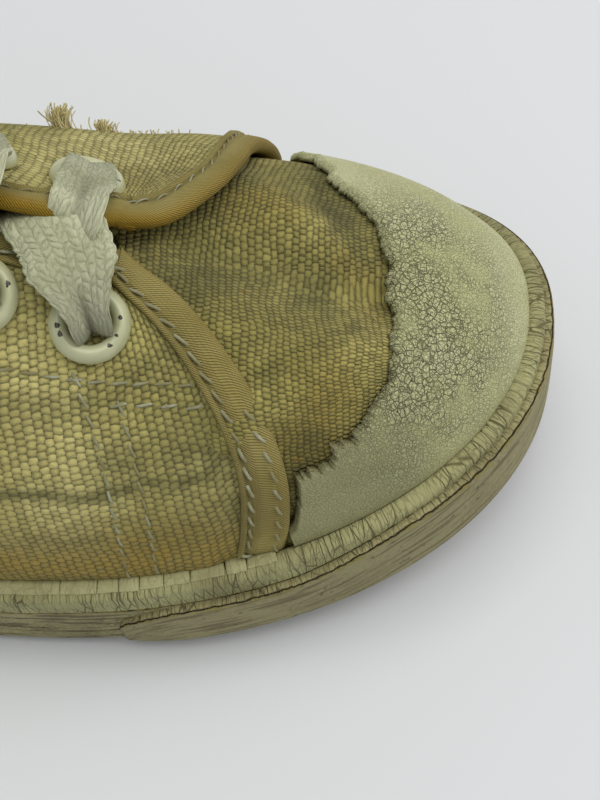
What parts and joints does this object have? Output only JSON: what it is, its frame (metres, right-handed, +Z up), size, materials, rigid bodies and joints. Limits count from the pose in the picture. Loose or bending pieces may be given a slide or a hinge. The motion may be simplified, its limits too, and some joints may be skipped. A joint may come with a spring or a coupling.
{
  "type": "canvas sneaker",
  "caption": "Worn low canvas sneaker for a child, with a cracked rubber toe cap, foxing, a stitched quarter over the vamp, painted eyelets and flat laces.",
  "frame": {"origin": "middle of the whole shoe's footprint, on the plane that the sole stands on", "axes": "+X towards the toe, +Y towards the inner side of the foot, +Z up"},
  "size_m": [0.1862, 0.0668, 0.0778],
  "materials": {
    "canvas": "coarse worn canvas, dusty khaki",
    "lining": "worn matte canvas",
    "cap_rubber": "crazed, dirty off-white rubber, satin where worn",
    "sole_rubber": "cracked and rippled, dirty off-white rubber",
    "tread_rubber": "matte gum rubber",
    "eyelet_paint": "chipped gloss off-white paint",
    "lace_cotton": "flat braided cotton, grey with dirt"
  },
  "bodies": {
    "root": {"outsole": "tread_rubber", "foxing": "sole_rubber", "toe_bumper": "sole_rubber", "foxing_strip": "cap_rubber", "upper": "canvas", "toe_cap": "cap_rubber", "insole": "lining", "tongue": "canvas", "eyelet_outer_1": "eyelet_paint", "eyelet_outer_2": "eyelet_paint", "eyelet_outer_3": "eyelet_paint", "eyelet_outer_4": "eyelet_paint", "eyelet_outer_5": "eyelet_paint", "eyelet_inner_1": "eyelet_paint", "eyelet_inner_2": "eyelet_paint", "eyelet_inner_3": "eyelet_paint", "eyelet_inner_4": "eyelet_paint", "eyelet_inner_5": "eyelet_paint", "lace_crossing_1": "lace_cotton", "lace_crossing_2": "lace_cotton", "lace_crossing_3": "lace_cotton", "lace_crossing_4": "lace_cotton"}
  },
  "joints": []
}
